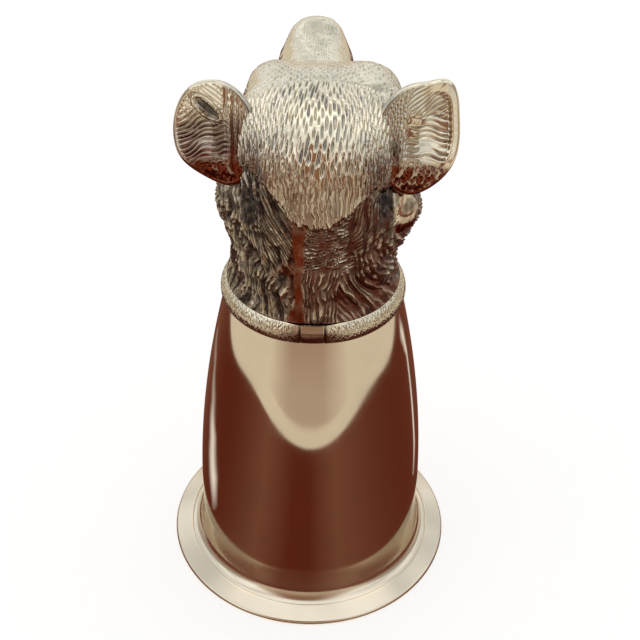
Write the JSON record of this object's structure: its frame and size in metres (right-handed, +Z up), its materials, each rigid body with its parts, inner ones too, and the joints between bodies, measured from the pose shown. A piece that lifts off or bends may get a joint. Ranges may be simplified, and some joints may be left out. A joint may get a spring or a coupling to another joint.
{
  "type": "stirrup cup",
  "caption": "Tapered silver stirrup cup that stands mouth down on a flared rim, with a hollow cast bear's head, cupped ears and a hatched collar on its narrow end.",
  "frame": {"origin": "centre of the rim's rest plane", "axes": "+Z up along the cup's axis, from the mouth to the head; +Y towards the muzzle; +X to the head's right-hand side as seen from behind"},
  "size_m": [0.076, 0.0856, 0.1381],
  "materials": {
    "polished_silver": "polished, with fine scratches",
    "inner_silver": "satin",
    "cast_silver": "chased fur, darkened in the grooves",
    "collar_silver": "hatched, darkened in the grooves"
  },
  "bodies": {
    "root": {"cup_wall": "polished_silver", "lip_ring": "polished_silver", "cup_bottom": "inner_silver", "neck_ring": "inner_silver", "head_left": "cast_silver", "head_right": "cast_silver", "ear_left": "cast_silver", "ear_right": "cast_silver", "collar_band": "collar_silver", "collar_tab": "collar_silver"}
  },
  "joints": []
}
